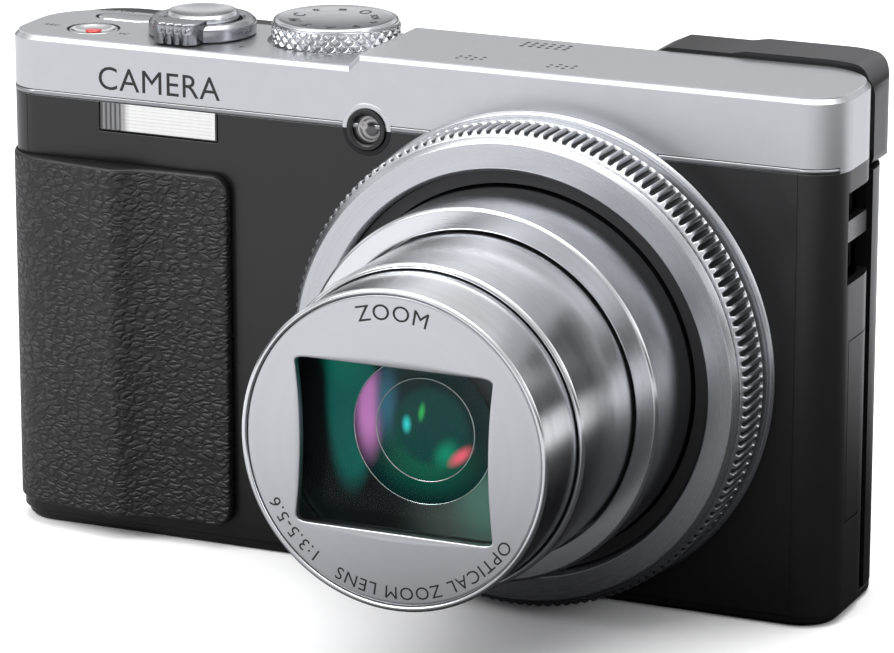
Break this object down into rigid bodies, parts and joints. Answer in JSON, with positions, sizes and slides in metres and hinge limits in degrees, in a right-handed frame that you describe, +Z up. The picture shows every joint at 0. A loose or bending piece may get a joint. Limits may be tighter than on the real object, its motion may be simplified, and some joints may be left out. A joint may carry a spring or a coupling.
{
  "type": "compact digital camera",
  "caption": "Pocket camera with a telescoping zoom lens run out, control ring, mode dial, zoom lever, built-in flash, grip, rear screen and eye-level finder.",
  "frame": {"origin": "centre of the tripod socket's mouth, on the plane of the base", "axes": "+Z up, the front and its lens face -Y, +X is to the right seen from the front"},
  "size_m": [0.1092, 0.0685, 0.065],
  "materials": {
    "silver_paint": "satin silver paint on an aluminium shell",
    "black_paint": "fine satin black paint",
    "charcoal_paint": "satin charcoal paint",
    "leather_grip": "moulded rubber with a leather grain",
    "spun_metal": "turned and anodised",
    "dark_metal": "dark satin plated",
    "barrel_metal": "polished grey anodised",
    "bright_metal": "polished",
    "steel": "brushed",
    "matte_black": "fine matte",
    "gloss_black": "gloss",
    "button_plastic": "satin",
    "clear_glass": "coated",
    "screen_glass": "polished, dark behind",
    "frosted_plastic": "frosted",
    "circuit_board": "lacquered board",
    "soft_rubber": "matte",
    "label_grey": "satin label"
  },
  "bodies": {
    "case": {"front_cover": "charcoal_paint", "side_cover_right": "black_paint", "side_cover_left": "black_paint", "rear_cover": "black_paint", "top_cover": "silver_paint", "bottom_cover": "black_paint", "grip": "leather_grip", "chassis": "steel", "main_board": "circuit_board", "battery": "label_grey", "memory_card": "matte_black", "tripod_bush": "steel", "flash_window": "frosted_plastic", "flash_reflector": "bright_metal", "flash_tube": "clear_glass", "af_lamp_window": "clear_glass", "lens_flange": "spun_metal", "lens_bezel": "spun_metal", "lens_tube": "matte_black", "image_sensor": "screen_glass", "zoom_motor": "steel", "speaker": "matte_black", "display_panel": "gloss_black", "display_glass": "screen_glass", "viewfinder_cover": "black_paint", "eyecup": "soft_rubber", "eyepiece_lens": "clear_glass", "viewfinder_screen": "gloss_black", "thumb_rest": "soft_rubber", "strap_lug": "dark_metal", "case_screws": "steel"},
    "barrel_large": {"barrel_large": "barrel_metal"},
    "barrel_middle": {"barrel_middle": "barrel_metal", "middle_lens": "clear_glass"},
    "barrel_front": {"barrel_front": "barrel_metal", "lens_face": "spun_metal", "front_lens": "clear_glass", "second_lens": "clear_glass", "lens_baffle": "matte_black"},
    "barrier_upper_inner": {"barrier_upper_inner": "matte_black"},
    "barrier_upper_outer": {"barrier_upper_outer": "matte_black"},
    "barrier_lower_inner": {"barrier_lower_inner": "matte_black"},
    "barrier_lower_outer": {"barrier_lower_outer": "matte_black"},
    "control_ring": {"control_ring": "spun_metal"},
    "zoom_lever": {"zoom_lever": "spun_metal"},
    "shutter_button": {"shutter_button": "spun_metal"},
    "mode_dial": {"mode_dial": "spun_metal"},
    "power_button": {"power_button": "spun_metal"},
    "record_button": {"record_button": "bright_metal"},
    "pad_plate": {"pad_plate": "matte_black"},
    "cursor_pad": {"cursor_pad": "button_plastic"},
    "menu_button": {"menu_button": "button_plastic"},
    "play_button": {"play_button": "button_plastic"},
    "info_button": {"info_button": "button_plastic"},
    "quick_button": {"quick_button": "button_plastic"},
    "viewfinder_button": {"viewfinder_button": "button_plastic"},
    "diopter_dial": {"diopter_dial": "matte_black"},
    "battery_door": {"battery_door": "black_paint"},
    "battery_catch": {"battery_catch": "button_plastic"},
    "port_cover": {"port_cover": "black_paint"}
  },
  "joints": [
    {"name": "lens_zoom", "type": "slide", "parent": "case", "child": "barrel_large", "axis": [0, -1, 0], "range_m": [-0.01137, 0]},
    {"name": "lens_zoom_middle", "type": "slide", "parent": "barrel_large", "child": "barrel_middle", "axis": [0, -1, 0], "range_m": [-0.01455, 0]},
    {"name": "lens_zoom_front", "type": "slide", "parent": "barrel_middle", "child": "barrel_front", "axis": [0, -1, 0], "range_m": [-0.00819, 0]},
    {"name": "barrier_upper_inner_slide", "type": "slide", "parent": "barrel_front", "child": "barrier_upper_inner", "axis": [0, 0, -1], "range_m": [0, 0.0096]},
    {"name": "barrier_upper_outer_slide", "type": "slide", "parent": "barrel_front", "child": "barrier_upper_outer", "axis": [0, 0, -1], "range_m": [0, 0.0049]},
    {"name": "barrier_lower_inner_slide", "type": "slide", "parent": "barrel_front", "child": "barrier_lower_inner", "axis": [0, 0, 1], "range_m": [0, 0.0096]},
    {"name": "barrier_lower_outer_slide", "type": "slide", "parent": "barrel_front", "child": "barrier_lower_outer", "axis": [0, 0, 1], "range_m": [0, 0.0049]},
    {"name": "control_ring_turn", "type": "hinge", "parent": "case", "child": "control_ring", "pos_m": [0.01766, -0.012, 0.02959], "axis": [0, -1, 0], "continuous": true},
    {"name": "zoom_lever_turn", "type": "hinge", "parent": "case", "child": "zoom_lever", "pos_m": [-0.0314, -0.0025, 0.06311], "axis": [0, 0, 1], "range_deg": [-18, 18], "stiffness_Nm_per_rad": 0.03},
    {"name": "shutter_button_press", "type": "slide", "parent": "case", "child": "shutter_button", "axis": [0, 0, -1], "range_m": [0, 0.001], "stiffness_N_per_m": 300},
    {"name": "mode_dial_turn", "type": "hinge", "parent": "case", "child": "mode_dial", "pos_m": [-0.0149, 0.0007, 0.06211], "axis": [0, 0, 1], "continuous": true},
    {"name": "power_button_press", "type": "slide", "parent": "case", "child": "power_button", "axis": [0, 0, -1], "range_m": [0, 0.0005], "stiffness_N_per_m": 400},
    {"name": "record_button_press", "type": "slide", "parent": "case", "child": "record_button", "axis": [0, 0, -1], "range_m": [0, 0.0005], "stiffness_N_per_m": 400},
    {"name": "pad_tilt_side", "type": "hinge", "parent": "case", "child": "pad_plate", "pos_m": [-0.0364, 0.0097, 0.0225], "axis": [0, 0, 1], "range_deg": [-3, 3], "stiffness_Nm_per_rad": 0.05},
    {"name": "pad_tilt_up", "type": "hinge", "parent": "pad_plate", "child": "cursor_pad", "pos_m": [-0.0364, 0.0097, 0.0225], "axis": [1, 0, 0], "range_deg": [-3, 3], "stiffness_Nm_per_rad": 0.05},
    {"name": "menu_button_press", "type": "slide", "parent": "case", "child": "menu_button", "axis": [0, -1, 0], "range_m": [0, 0.0006], "stiffness_N_per_m": 400},
    {"name": "play_button_press", "type": "slide", "parent": "case", "child": "play_button", "axis": [0, -1, 0], "range_m": [0, 0.0006], "stiffness_N_per_m": 400},
    {"name": "info_button_press", "type": "slide", "parent": "case", "child": "info_button", "axis": [0, -1, 0], "range_m": [0, 0.0006], "stiffness_N_per_m": 400},
    {"name": "quick_button_press", "type": "slide", "parent": "case", "child": "quick_button", "axis": [0, -1, 0], "range_m": [0, 0.0006], "stiffness_N_per_m": 400},
    {"name": "viewfinder_button_press", "type": "slide", "parent": "case", "child": "viewfinder_button", "axis": [0, -1, 0], "range_m": [0, 0.0006], "stiffness_N_per_m": 400},
    {"name": "diopter_dial_turn", "type": "hinge", "parent": "case", "child": "diopter_dial", "pos_m": [0.0281, 0.0132, 0.05845], "axis": [0, 1, 0], "range_deg": [-135, 135]},
    {"name": "battery_door_open", "type": "hinge", "parent": "case", "child": "battery_door", "pos_m": [-0.0121, -0.003, 0], "axis": [0, 1, 0], "range_deg": [-100, 0]},
    {"name": "battery_catch_slide", "type": "slide", "parent": "battery_door", "child": "battery_catch", "axis": [1, 0, 0], "range_m": [0, 0.0025]},
    {"name": "port_cover_open", "type": "hinge", "parent": "case", "child": "port_cover", "pos_m": [0.0542, -0.007, 0.023], "axis": [0, 0, 1], "range_deg": [-100, 0]}
  ],
  "couplings": [
    {"joint": "lens_zoom_middle", "follows": "lens_zoom", "ratio": 1.2797},
    {"joint": "lens_zoom_front", "follows": "lens_zoom", "ratio": 0.72032},
    {"joint": "barrier_upper_inner_slide", "follows": "lens_zoom", "ratio": -0.84433},
    {"joint": "barrier_upper_outer_slide", "follows": "lens_zoom", "ratio": -0.43096},
    {"joint": "barrier_lower_inner_slide", "follows": "lens_zoom", "ratio": -0.84433},
    {"joint": "barrier_lower_outer_slide", "follows": "lens_zoom", "ratio": -0.43096}
  ]
}
